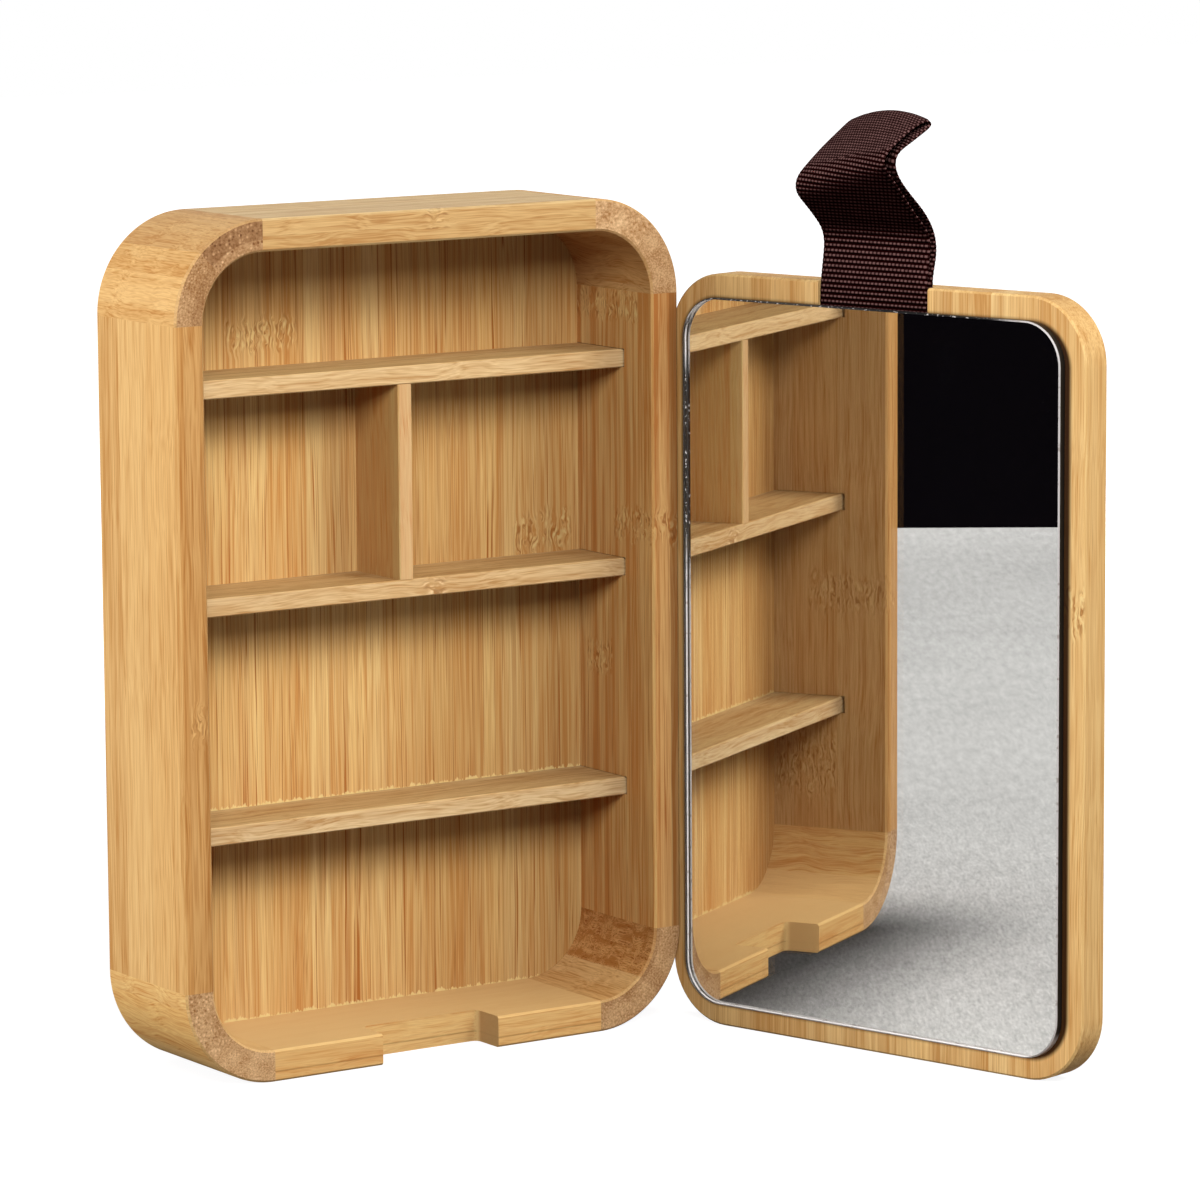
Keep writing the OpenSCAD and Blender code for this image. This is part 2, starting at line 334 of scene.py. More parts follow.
def bamboo_grain_group():
    """Bamboo with its fibres along Z: strip tones, streaks, hair lines and pores."""
    net, source, sink = new_group("Bamboo Grain", dict(
        Position="Vector", Light="Color", Dark="Color", Streak="Color", Strip_Width="Float",
        Strip_Depth="Float", Strip_Contrast="Float", Streak_Amount="Float", Wave="Float",
        Pores="Float", Variation="Float", Broad="Float", Seed="Float"),
        dict(Color="Color", Height="Float"))
    seed, wave, streak = source["Seed"], source["Wave"], source["Streak"]

    def fibres(kind):
        return net.scaled(own, kind[0], kind[0], kind[1])

    x, y, z = net.axes(source["Position"])
    run = z * wave
    across = x / source["Strip_Width"] + seed * 0.37
    layer = y / source["Strip_Depth"] + seed * 0.73
    strip = net.join(net.math("FLOOR", across), net.math("FLOOR", layer), seed)
    tone = net.random(strip)
    hue = net.axes(net.random(strip, out=1))[1]
    offset = tone * 57.0
    sway = net.noise(net.join(x * 0.03, offset, run * 0.008), detail=1.0)
    moved = (sway - 0.5) * (wave + 1.0) + offset
    own = net.join(x + moved, y + moved, run + seed * 31.0)
    broad = net.noise(fibres(BROAD), detail=1.0)
    fine = net.noise(fibres(FINE), roughness=0.6)
    hair = net.noise(fibres(HAIR), detail=1.0, roughness=0.6)
    level = (tone - 0.5) * source["Strip_Contrast"]
    for part, weight in ((broad, source["Broad"]), (fine, FINE_WEIGHT), (hair, HAIR_WEIGHT)):
        level = (part - 0.5) * source["Variation"] * weight + level
    tint = net.blend(net.clamped(level + MIDDLE_TONE), source["Dark"], source["Light"])
    tint = net.dyed(tint, RUDDY, hue * 0.6)
    lines = net.step(fine, 0.52, 0.72)
    lines += net.step(broad, 0.58, 0.72) * 0.45
    lines += net.step(hair, 0.56, 0.70) * 0.4
    tint = net.blend(net.clamped(lines * source["Streak_Amount"]), tint, streak)
    pore = net.add("ShaderNodeTexVoronoi", named={"Vector": fibres(PORE), "Scale": 1.0})
    tint = net.blend(net.step(pore, 0.34, 0.12) * source["Pores"], tint, streak)
    seam = net.step(net.math("PINGPONG", across, 0.5), 0.03, 0.0)
    tint = net.blend(seam * (tone * 0.35), tint, streak)
    net.put(sink["Color"], tint)
    net.put(sink["Height"], hair)


def end_grain_group():
    """Bamboo cut across its fibres, in the XY plane: grit with dark and pale bundles."""
    net, source, sink = new_group("Bamboo End", dict(
        Position="Vector", Light="Color", Dark="Color", Grit="Float", Bundles="Float",
        Seed="Float"), dict(Color="Color", Height="Float"))
    seed = source["Seed"]
    flat = net.vector("ADD", net.scaled(source["Position"], 1, 1, 0.02), net.join(seed, seed, seed))
    flat = net.add("ShaderNodeVectorMath", flat, operation="SCALE", named={"Scale": source["Grit"]})
    grit = net.noise(flat, 1.5, 2.0, 0.7)
    drift = net.noise(flat, 0.16, 1.0)
    level = net.clamped((drift - 0.5) * 0.9 + (grit - 0.5) * 1.9 + 0.5)
    tint = net.blend(level, source["Dark"], source["Light"])
    cells = net.add("ShaderNodeTexVoronoi", named={"Vector": flat, "Scale": 0.95}, out=None)
    pale = net.step(net.axes(cells.outputs["Color"])[0], 0.45, 0.55)
    spot = net.step(Value(net, cells.outputs["Distance"]), 0.42, 0.12) * source["Bundles"]
    spots = net.blend(pale, net.dyed(source["Dark"], (0.68, 0.57, 0.47, 1)),
                      net.dyed(source["Light"], (1.25, 1.3, 1.4, 1)))
    net.put(sink["Color"], net.blend(spot, tint, spots))
    net.put(sink["Height"], grit)


def knuckle_group():
    """One knuckle of the cane: the fibres curl round it, each curl with a dark side, partly darker
    fibres and partly painted shade, and a painted highlight.
    """
    net, source, sink = new_group("Bamboo Knuckle", dict(
        Position="Vector", Centre="Vector", Width="Float", Depth="Float", Height="Float",
        Seed="Float"), dict(Position="Vector", Dark="Float", Pale="Float"))
    place = net.vector("SUBTRACT", source["Position"], source["Centre"])
    x, y, z = net.axes(place)
    height = source["Height"]
    side = net.larger(abs(x) / (source["Width"] * 0.5), abs(y) / (source["Depth"] * 0.5))
    ragged = net.noise(net.scaled(place, 0.30, 0.30, 0.0))
    level = abs((ragged - 0.5) * height + z) / (height * 0.5)
    band = net.step(side, 1.08, 0.9) * net.step(level, 1.3, 0.5)
    seeded = net.vector("ADD", place, net.join(source["Seed"], source["Seed"], 0.0))
    curl = net.noise(net.scaled(seeded, 0.34, 0.34, 0.15), distortion=0.25)
    turn = (curl - 0.5) * band * 4.2
    swing = net.math("SINE", ((x + y) * 0.55 + turn) * (2 * math.pi))
    patch = net.step(net.noise(net.scaled(seeded, 0.5, 0.5, 0.3), detail=1.0), 0.38, 0.6) * band
    shift = net.join(turn * 1.6, 0.0, 0.0)
    net.put(sink["Position"], net.vector("ADD", source["Position"], shift))
    # dark side: partly darker fibres, partly painted shade; the other output is a painted highlight
    net.put(sink["Dark"], net.step(swing, -0.35, -0.95) * patch)
    net.put(sink["Pale"], net.step(swing, 0.25, 0.95) * patch)


def bevel_mask_group():
    """Mask of the small bevels that face along both sides of one axis."""
    net, source, sink = new_group("Eased Edge", dict(Axis="Vector"), dict(Mask="Float"))
    lean = abs(net.along(net.normal(), source["Axis"]))
    net.put(sink["Mask"], net.step(lean, 0.25, 0.5) * net.step(lean, 0.95, 0.85))


THREAD = 1.4                       # width of one thread across the webbing
FINER = 0.25                       # how much closer the rows of the flap are
GROOVE_SHADE = (0.05, 0.004, 0.004, 1)   # painted shade: what the yarn is darkened with between the ribs


def webbing_group():
    """Woven yarn: warp threads along the webbing, seen between the ribs, with painted highlights on
    the crests and painted shade in the grooves.
    """
    net, source, sink = new_group("Webbing Weave", dict(
        Along="Float", Across="Float", Rib_Pitch="Float", Fine="Float", Yarn="Color"),
        dict(Color="Color", Height="Float"))
    closer = net.math("GREATER_THAN", source["Fine"], 0.5) * FINER + 1.0
    rib = source["Along"] * closer / source["Rib_Pitch"]
    row = net.math("FLOOR", rib)
    thread = source["Across"] / THREAD + net.math("MODULO", row, 2.0) * 0.5
    bulge = abs(net.math("SINE", thread * math.pi))
    top = abs(net.math("SINE", rib * math.pi))
    change = net.random(net.join(net.math("FLOOR", thread), row, 3.0))
    # painted highlight on the crests and threads, painted shade towards the grooves
    ribbed = net.step(top, 0.5, 0.98) * (net.step(bulge, 0.3, 0.95) * 0.85 + 0.15)
    woven = net.step(top * bulge, 0.25, 0.85) * 0.9 + 0.08
    lit = net.add("ShaderNodeMix", source["Fine"], None, ribbed, woven)
    lit = net.math("POWER", net.clamped(lit * (change * 0.4 + 0.8)), 1.15)
    net.put(sink["Color"], net.blend(lit, net.dyed(source["Yarn"], GROOVE_SHADE), source["Yarn"]))
    net.put(sink["Height"], bulge * top)


def object_place(net):
    """Place on the object in millimetres."""
    return net.scaled(net.add("ShaderNodeTexCoord", out="Object"), 1 / MM, 1 / MM, 1 / MM)


def new_material(name):
    """Material with an empty net; returns it with its net, shader node and object place."""
    material = bpy.data.materials.new(name)
    material.use_nodes = True
    material.node_tree.nodes.clear()
    net = Net(material.node_tree)
    shader = net.add("ShaderNodeBsdfPrincipled", out=None)
    net.add("ShaderNodeOutputMaterial", shader.outputs[0])
    return material, net, shader, object_place(net)


def set_shader(net, shader, **values):
    """Values or links for a shader's sockets. Underscores stand for spaces."""
    for key, value in values.items():
        net.put(shader.inputs[key.replace("_", " ")], value)


# Bamboo

# What wood passes on of its own colour to wood near it: how deep and warm its shadows are
BOUNCE = (0.33, 0.17, 0.055, 1)
# What the wood round the glass is darkened with: a painted shadow of the glass
GLASS_SHADOW = (0.05, 0.03, 0.012, 1)

# Turns that bring a board's fibres onto Z, its face across onto X
TURNS = {
    "z": (0, 0, 0),
    "x": (0, math.radians(-90), 0),
    "y": (math.radians(90), 0, 0),
    "lid": (0, 0, -LID_ANGLE),
}


def bamboo(name, grain="z", seed=0.0, strip=None, ply=None, contrast=0.5, streak=0.5, pores=0.15,
           wave=1.0, variation=1.0, broad=1.2, tone=1.0, warmth=1.0, knuckles=(), bands=(), glue=(),
           front=None, fade=None, ends=None, rim=None, axis=(0, 1, 0), rough=0.5, gloss=0.06):
    """Bamboo material for one piece, in the turned place where its fibres run along Z.

    knuckles: x, y, z, width, depth, height. bands: from x, to x, tone, warmth, softness.
    glue: height, depth. front: tint of the front faces, partly their edge grain and partly
    painted light and shade for how the light falls on them. fade: from z, to z and how much
    paler the other faces are painted there, as painted light. ends: see end_grain. rim: depth
    of the lid's face, round whose glass a painted shadow is laid.
    """
    settings = bpy.context.scene.box_bamboo
    material, net, shader, place = new_material(name)
    turned = net.add("ShaderNodeMapping", place, (0, 0, 0), TURNS[grain], vector_type="POINT")
    x, _, z = net.axes(turned)
    place, curls = turned, []
    for k, (*centre, width, depth, height) in enumerate(knuckles):
        curl = use_group(net, "Bamboo Knuckle", Position=place, Centre=centre,
                         Width=width, Depth=depth, Height=height, Seed=seed + 3.1 * k)
        place = curl["Position"]
        curls.append(curl)
    grained = use_group(
        net, "Bamboo Grain", Position=place, Light=warm(settings.light, tone, warmth),
        Dark=warm(settings.dark, tone, warmth), Streak=warm(settings.streak, tone, warmth),
        Strip_Width=strip or settings.strip_width / MM,
        Strip_Depth=ply or settings.strip_width / MM, Strip_Contrast=contrast,
        Streak_Amount=streak, Wave=wave, Pores=pores, Variation=variation, Broad=broad, Seed=seed)
    tint = grained["Color"]
    for curl in curls:
        # the curls' dark sides, partly painted shade, and their painted highlights
        tint = net.blend(curl["Dark"] * 0.65, tint, warm(settings.streak, tone * 0.8, warmth))
        tint = net.blend(curl["Pale"] * 0.7, tint, warm(settings.light, tone * 1.08, warmth))
    for low, high, factor, warmer, soft in bands:
        dye = (factor, factor / warmer, factor / warmer ** 2, 1)
        tint = net.dyed(tint, dye, net.within(x, low, high, soft))
    # painted light: the faces other than the fronts are painted paler between two heights along the
    # fibres
    if fade:
        paler = net.add("ShaderNodeMapRange", z, *fade) * (1.0 - facing_front(net))
        tint = net.blend(paler, tint, warm(settings.light, 1.0, 1.03))
    # front faces tinted apart from the rest: partly edge grain, partly painted light and shade
    if front:
        tint = net.dyed(tint, (*front, 1), facing_front(net))
    # painted shadow of the glass on the wood round it
    if rim is not None:
        tint = net.dyed(tint, GLASS_SHADOW, glass_shadow_mask(net, turned, rim))
    for height, depth in glue:
        tint = net.blend(glue_line(net, turned, height, depth), tint, shade(settings.light, 1.25))
    if ends:
        tint = net.blend(facing_front(net), tint, end_grain(net, turned, seed, **ends))
    # the small bevels are made a little paler
    edge = use_group(net, "Eased Edge", Axis=axis)["Mask"]
    tint = net.blend(edge * 0.14, tint, warm(settings.light, 1.12 * tone, warmth))
    tint = net.dyed(tint, BOUNCE, net.add("ShaderNodeLightPath", out="Is Diffuse Ray"))
    bump = net.add("ShaderNodeBump", named={
        "Strength": 0.25, "Distance": 0.12 * MM, "Height": grained["Height"]})
    set_shader(net, shader, Base_Color=tint, Roughness=grained["Height"] * -0.08 + (rough + 0.08),
               Specular_IOR_Level=gloss, Normal=bump)
    return material


def facing_front(net):
    """Mask of the faces that look along the depth of the box, forwards or backwards."""
    return net.step(abs(net.along(net.normal(), DEPTH)), 0.6, 0.8)


def glass_shadow_mask(net, place, face):
    """Mask of the painted shadow of the glass on the lid round it; the glass hides part of it at
    the left.
    """
    x, y, z = net.axes(place)
    (near, right), (low, top) = span("mirror_glass", LID_U), span("mirror_glass", UP)
    radius, soft, past = 13.0, 0.8, []
    for value, start, end in ((x, near - 2.6, right + 1.6), (z, low - 0.9, top + 0.1)):
        beyond = abs(value - (start + end) / 2) - ((end - start) / 2 - radius)
        past.append(net.larger(beyond, 0.0))
    reach = net.length(net.join(*past, 0.0))
    return net.step(reach, radius + soft, radius - soft) * net.within(y, face - 5, face + 0.4, 0.2)


def glue_line(net, place, height, depth):
    """Mask of ragged specks of dried glue just above a height along Z, in front of a depth."""
    x, y, z = net.axes(place)
    ragged = net.noise(net.join(x, height, 0.0), 0.7, 3.0, 0.7)
    top = (ragged - 0.5) * 5.0 + (height + 0.15)
    mask = net.step(z - top, 0.25, -0.1) * net.step(y, depth + 0.5, depth)
    return mask * net.step(z, height - 1.0, height - 0.8) * 0.75


def end_grain(net, place, seed, centre, radius, inner, outer, grit=1.0, bundles=0.5):
    """Cut end of a corner block: an inner and an outer layer, each with its own tone."""
    settings = bpy.context.scene.box_bamboo
    x, y, _ = net.axes(place)
    reach = net.length(net.join(x - centre[0], y + centre[1], 0.0))
    end = use_group(net, "Bamboo End", Position=place, Light=shade(settings.end_light),
                    Dark=shade(settings.end_dark), Grit=grit, Bundles=bundles, Seed=seed)
    tones = [(tone, tone ** 1.3, tone ** 1.6, 1) for tone in (inner, outer)]
    layer = net.blend(net.step(reach, radius - 0.2, radius + 0.2), *tones)
    line = net.within(reach, radius - 0.12, radius + 0.12, 0.12) * 0.25
    return net.blend(line, net.dyed(end["Color"], layer), shade(settings.end_dark, 0.7))


def dress(node, material):
    """Gives a CAD node its material."""
    slots = NODES[node].data.materials
    slots.clear()
    slots.append(material)


def finish_mesh(name, points, faces, material, smooth=True):
    """New object at the origin from points in metres."""
    mesh = bpy.data.meshes.new(name)
    mesh.from_pydata([tuple(p) for p in points], [], faces)
    mesh.validate()
    mesh.polygons.foreach_set("use_smooth", [smooth] * len(mesh.polygons))
    mesh.materials.append(material)
    mesh.update()
    obj = bpy.data.objects.new(name, mesh)
    bpy.context.scene.collection.objects.link(obj)
    return obj


# Operators: the box

# front tints the front faces: partly edge grain, partly painted light and shade
FRAME = {
    "top_rail": dict(
        grain="x", seed=1.3, ply=22, streak=0.2, wave=4, tone=0.96, warmth=0.84, gloss=0.35,
        front=(0.92, 0.82, 0.73), bands=[(-242, -235.6, 0.97, 1.04, 0.25)],
        knuckles=[(-237.4, -22, 2, 6, 8, 9)]),
    "bottom_rail": dict(
        grain="x", seed=2.6, ply=22, streak=0.3, wave=4, variation=0.7, tone=1.18, warmth=1.02,
        front=(0.98, 0.95, 0.98), fade=(-54, 40, 0.9, 0.75), bands=[(-3.1, -2.7, 0.7, 1.1, 0.2)]),
    "left_stile": dict(
        seed=3.2, ply=15, streak=0.25, wave=2.5, front=(0.86, 0.77, 0.68),
        bands=[(-75, -70, 0.86, 1.04, 1.2)],
        knuckles=[(-75, -10, 103, 9, 30, 12), (-75, 6, 48, 9, 22, 22)]),
    "right_stile": dict(
        seed=4.9, ply=30, streak=0.7, wave=2, variation=1.3, broad=2.6, tone=1.17, warmth=1.07,
        front=(0.70, 0.60, 0.585), bands=[(79.4, 85, 0.76, 0.97, 0.25)],
        knuckles=[(77, -13, 145, 14, 22, 9), (75, 6, 104, 8, 13, 9), (75, 2, 207, 8, 34, 8)]),
}

# Cut ends of the corner blocks: radius between their two layers, and the tone of each
ENDS = {
    "top_left_rail": dict(radius=22.4, inner=0.98, outer=0.68, grit=0.8, bundles=1.0),
    "top_left_stile": dict(radius=22.6, inner=0.85, outer=1.0, grit=1.1),
    "top_right_rail": dict(radius=18.0, inner=1.0, outer=1.3, grit=0.7, bundles=0.3),
    "top_right_stile": dict(radius=18.0, inner=1.0, outer=1.16, grit=1.3, bundles=0.2),
    "bottom_left_rail": dict(radius=18.0, inner=1.05, outer=1.28, grit=1.3, bundles=0.3),
    "bottom_left_stile": dict(radius=18.0, inner=1.05, outer=1.16, grit=0.9, bundles=0.55),
    "bottom_right_rail": dict(radius=20.8, inner=1.0, outer=1.12, grit=1.1, bundles=0.35),
    "bottom_right_stile": dict(radius=20.8, inner=0.86, outer=1.04, grit=1.1, bundles=0.4),
}
# Their curved sides
SIDES = {
    "top_left_rail": dict(tone=0.9, streak=0.5, gloss=0.25),
    "top_left_stile": dict(streak=0.3),
    "top_right_rail": dict(tone=0.95, warmth=1.05, streak=0.5),
    "top_right_stile": dict(tone=0.95, warmth=1.05, streak=0.5),
    "bottom_left_rail": dict(tone=1.12, warmth=1.07, streak=0.1, fade=(-60, -50, 0.7, 0.7)),
    "bottom_left_stile": dict(tone=1.15, warmth=1.06, streak=0.3),
    "bottom_right_rail": dict(tone=1.05, streak=0.3),
    "bottom_right_stile": dict(tone=0.92, warmth=1.14, streak=1.0, wave=14, variation=1.8,
                               broad=2, pores=0.6),
}
CORNER_X, CORNER_LOW, CORNER_HIGH = 54.5, 28.0, 212.0     # axes of the round corners


class BOX_OT_shared_nodes(bpy.types.Operator):
    """Builds the node groups that the materials share"""
    bl_idname = "storage_box.shared_nodes"
    bl_label = "Shared Nodes"

    def execute(self, context):
        bamboo_grain_group()
        end_grain_group()
        knuckle_group()
        bevel_mask_group()
        webbing_group()
        return {"FINISHED"}


class BOX_OT_frame(bpy.types.Operator):
    """Gives the rails and stiles their bamboo"""
    bl_idname = "storage_box.frame"
    bl_label = "Rails and Stiles"

    def execute(self, context):
        ply = context.scene.box_bamboo.ply / MM
        for name, looks in FRAME.items():
            dress(name, bamboo("bamboo_" + name, strip=ply, contrast=0.3, **looks))
        return {"FINISHED"}


class BOX_OT_corners(bpy.types.Operator):
    """Gives the eight corner blocks their end grain and glue lines"""
    bl_idname = "storage_box.corners"
    bl_label = "Corner Blocks"

    def execute(self, context):
        for k, (place, end) in enumerate(ENDS.items()):
            centre = (-CORNER_X if "left" in place else CORNER_X,
                      CORNER_HIGH if "top" in place else CORNER_LOW)
            looks = {"wave": 6, **SIDES[place]}
            dress(place + "_corner", bamboo(
                "bamboo_" + place + "_corner", "y", 7.7 + 1.9 * k, strip=9, ply=9, contrast=0.25,
                ends=dict(end, centre=centre), rough=0.55, **looks))
        return {"FINISHED"}


class BOX_OT_panel(bpy.types.Operator):
    """Gives the back panel its upright strips"""
    bl_idname = "storage_box.panel"
    bl_label = "Back Panel"

    def execute(self, context):
        behind = span("back_panel", DEPTH)[0] + 0.5
        # the band from 16 to 200 darkens the right of the panel: partly the boards' own tone,
        # partly painted shade
        dress("back_panel", bamboo(
            "bamboo_back_panel", "z", 21.4, contrast=0.45, streak=1.0, pores=0.05, wave=1.3,
            variation=1.25, tone=1.15, warmth=1.02, bands=[(16, 200, 0.87, 1.0, 14)],
            knuckles=[(-33, 16, 204, 23, 20, 9), (61, 16, 141, 20, 20, 11)],
            glue=[(9.2, behind), (70.5, behind)]))
        return {"FINISHED"}


class BOX_OT_shelves(bpy.types.Operator):
    """Gives the shelves and the divider their bamboo"""
    bl_idname = "storage_box.shelves"
    bl_label = "Shelves and Divider"

    def execute(self, context):
        boards = dict(strip=8, ply=12, contrast=0.25)
        knuckles = {"middle_shelf": [(-132, -5, 10, 6, 8, 8)]}
        for k, shelf in enumerate(("top_shelf", "middle_shelf", "bottom_shelf")):
            dress(shelf, bamboo(
                "bamboo_" + shelf, "x", 31.0 + 4.3 * k, streak=0.3, wave=4, tone=0.88, warmth=0.92,
                front=(1.10, 1.15, 1.38), knuckles=knuckles.get(shelf, ()), **boards))
        dress("divider", bamboo(
            "bamboo_divider", "z", 44.1, streak=0.35, wave=3, variation=0.7, tone=1.28,
            warmth=1.07, front=(0.85, 0.83, 1.07), **boards))
        return {"FINISHED"}


# Operators: the lid

class BOX_OT_lid(bpy.types.Operator):
    """Gives the lid its upright strips"""
    bl_idname = "storage_box.lid"
    bl_label = "Lid"

    def execute(self, context):
        right, face = span("mirror_glass", LID_U)[1], LID_FACE / MM
        dress("lid_panel", bamboo(
            "bamboo_lid", "lid", 52.5, strip=6.5, ply=40, streak=0.45, wave=2, tone=1.06,
            warmth=0.95, axis=LID_V, rim=face, knuckles=[(right + 3.0, face + 1, 133, 7, 12, 14)]))
        return {"FINISHED"}


# How squarely a face of the glass looks out of it to be clear and not ground
FLAT_FACE = 0.96


class BOX_OT_mirror(bpy.types.Operator):
    """Makes the glass clear with a ground edge and puts the silver behind it"""
    bl_idname = "storage_box.mirror"
    bl_label = "Mirror"

    def execute(self, context):
        settings = context.scene.box_mirror
        glass, net, shader, _ = new_material("mirror_glass")
        set_shader(net, shader, Base_Color=shade(settings.tint), Transmission_Weight=1.0, IOR=1.5,
                   Roughness=0.0)
        dress("mirror_glass", glass)
        # light reaches the ground edge through the glass
        NODES["mirror_glass"].visible_shadow = False
        self.ground_edge(settings)
        silver, net, shader, place = new_material("mirror_silver")
        smear = net.noise(net.scaled(place, 0.05, 0.05, 0.05), detail=3.0)
        set_shader(net, shader, Base_Color=shade(settings.silver), Metallic=1.0,
                   Roughness=net.step(smear, 0.5, 0.8) * 0.02)
        coat = mirror_coat(silver)
        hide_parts("mirror_silver")
        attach(coat, "lid")
        return {"FINISHED"}

    def ground_edge(self, settings):
        """Frosted material for the bevel and the sides of the glass, with smudges and specks; the
        top and right sides and the upper left side are black as painted shade, and the bevel is
        dark at the upper left and the top right as a painted reflection of the dark room.
        """
        ground, net, shader, place = new_material("mirror_ground_edge")
        (near, right), top = span("mirror_glass", LID_U), span("mirror_glass", UP)[1]
        along, height = net.along(place, LID_U), net.axes(place)[2]
        normal = net.normal()
        facing = abs(net.along(normal, LID_V))
        left = net.step(net.along(normal, LID_U), -0.45, -0.6)
        under = net.step(net.axes(normal)[2], -0.3, -0.6)
        speck = net.step(net.noise(place, 1.1, 2.0, 0.7), 0.60, 0.64)
        low = net.step((net.noise(place, 0.12) - 0.5) * 60.0 + height, 145, 128)
        smudge = net.step(net.noise(net.scaled(place, 0.25, 0.25, 0.6)), 0.58, 0.66)
        frost = net.blend(smudge * 0.5, shade(settings.frost), shade(settings.smudge))
        # painted shade and painted reflection: the black sides and the dark corners of the bevel
        over = net.step(height, top - 12, top - 6) * net.step(along, right - 13, right - 24)
        beside = net.step(along, near + 6, near + 3) * net.step(height, top - 16, top - 24)
        dark = net.larger(over, beside * (1.0 - low)) * (1.0 - speck)
        bevel = net.step(facing, 0.2, 0.3) * (1.0 - dark)
        pale = net.larger(net.larger(left * net.larger(speck, low), under), bevel)
        set_shader(net, shader, Base_Color=net.blend(pale, (0.006, 0.006, 0.006, 1), frost),
                   Roughness=settings.edge_roughness, Specular_IOR_Level=0.3)
        glass = NODES["mirror_glass"].data
        glass.materials.append(ground)
        for polygon in glass.polygons:
            polygon.material_index = int(abs(polygon.normal.dot(LID_V)) < FLAT_FACE)


def mirror_coat(material):
    """The silver behind the glass: a thin plate whose front lies just inside the glass."""
    u0, u1 = extent("mirror_silver", LID_U)
    v0, v1 = extent("mirror_silver", LID_V)
    z0, z1 = extent("mirror_silver", UP)
    radius, arc = 11.5 * MM, 12
    ring = []
    for cu, cz, start in ((u1 - radius, z1 - radius, 0), (u0 + radius, z1 - radius, 90),
                          (u0 + radius, z0 + radius, 180), (u1 - radius, z0 + radius, 270)):
        for i in range(arc + 1):
            a = math.radians(start + 90 * i / arc)
            ring.append((cu + radius * math.cos(a), cz + radius * math.sin(a)))
    n = len(ring)
    front, back = v0 - 0.03 * MM, v1 - 0.02 * MM
    points = [LID_U * u + LID_V * v + UP * z for v in (front, back) for u, z in ring]
    faces = [list(range(n)), list(range(2 * n - 1, n - 1, -1))]
    faces += [[i, i + n, (i + 1) % n + n, (i + 1) % n] for i in range(n)]
    return finish_mesh("mirror_silver_coat", points, faces, material, smooth=False)


# The webbing

# Outer face of the folded webbing, in the lid's millimetres (outwards, up), at its two
# edges: the tail behind the mirror, the crease, the ridge and the folded end. The marks
# split each edge at the same features.
RIGHT_EDGE = [
    [(0.3, 196.0), (0.3, 206.0), (-0.1, 211.6), (-1.0, 217.8), (0.2, 224.9), (1.0, 230.3)],
    [(0.0, 233.4), (-4.2, 236.6), (-13.9, 246.5), (-18.7, 251.0), (-20.8, 253.2)],
    [(-20.2, 255.4), (-15.3, 258.7), (-6.3, 263.2), (0.3, 265.1)],
    [(2.6, 264.3), (2.8, 262.6)],
    [(1.0, 261.3), (-5.6, 258.5), (-11.8, 256.0)],
    [(-14.2, 253.6), (-13.0, 250.2), (-7.7, 245.3), (-0.7, 239.7), (3.5, 234.8), (5.3, 230.0)],
    [(4.9, 226.2), (3.4, 221.3), (3.1, 218.4), (3.4, 215.0), (3.4, 206.0), (3.4, 196.0)],
]
LEFT_EDGE = [
    [(0.3, 196.0), (0.3, 206.0), (0.1, 211.3), (0.4, 218.5), (1.7, 226.2), (2.2, 230.0)],
    [(0.8, 232.8), (-4.4, 237.7), (-10.4, 242.7), (-11.3, 245.4)],
    [(-10.0, 248.5), (-6.6, 250.8), (0.8, 255.6), (9.4, 260.3), (14.9, 263.3)],
    [(16.9, 262.6), (16.9, 260.6)],
    [(11.6, 255.7), (3.2, 251.0), (-3.3, 246.9)],
    [(-4.6, 245.4), (-4.0, 243.8), (0.0, 239.6), (4.6, 235.0), (6.4, 230.6)],
    [(5.6, 226.0), (4.2, 221.3), (3.3, 218.4), (3.4, 215.0), (3.4, 206.0), (3.4, 196.0)],
]
# Rows given to each stretch between marks, so that both edges turn at the same rows
STRETCH_ROWS = [60, 46, 44, 16, 44, 46, 60]
ROUNDING = 26              # passes that round the corners of an edge like cloth
COLUMNS, ROWS = 31, 980    # of the woven strip
# How much higher the middle of the folded end stands than its corners
FOLD_BULGE = 3.0
# Length along the webbing's middle where the folded flap shows a finer weave instead of
# ribs, and how much later it starts per millimetre to the right
FLAP = (66.0, 97.0)
FLAP_SLANT = 0.28
# Distances from the middle between which the ribs sink into the selvedges
SELVEDGE = (17.4, 19.0)
THREAD_SEED = 5            # picks how the single threads stray


def smooth_edge(edge):
    """Evenly spaced points along one edge, with its corners rounded like cloth."""
    rows = []
    for stretch, count, following in zip(edge, STRETCH_ROWS, edge[1:] + [None]):
        points = np.array(stretch + ([following[0]] if following else []), float)
        reach = np.r_[0, np.cumsum(np.linalg.norm(np.diff(points, axis=0), axis=1))]
        wanted = np.linspace(0, reach[-1], count, endpoint=following is None)
        rows.append(np.stack([np.interp(wanted, reach, points[:, i]) for i in range(2)], 1))
    rows = np.concatenate(rows)
    for _ in range(ROUNDING):
        inner = (rows[:-2] + 2 * rows[1:-1] + rows[2:]) / 4
        rows[1:-1] = inner
    return rows


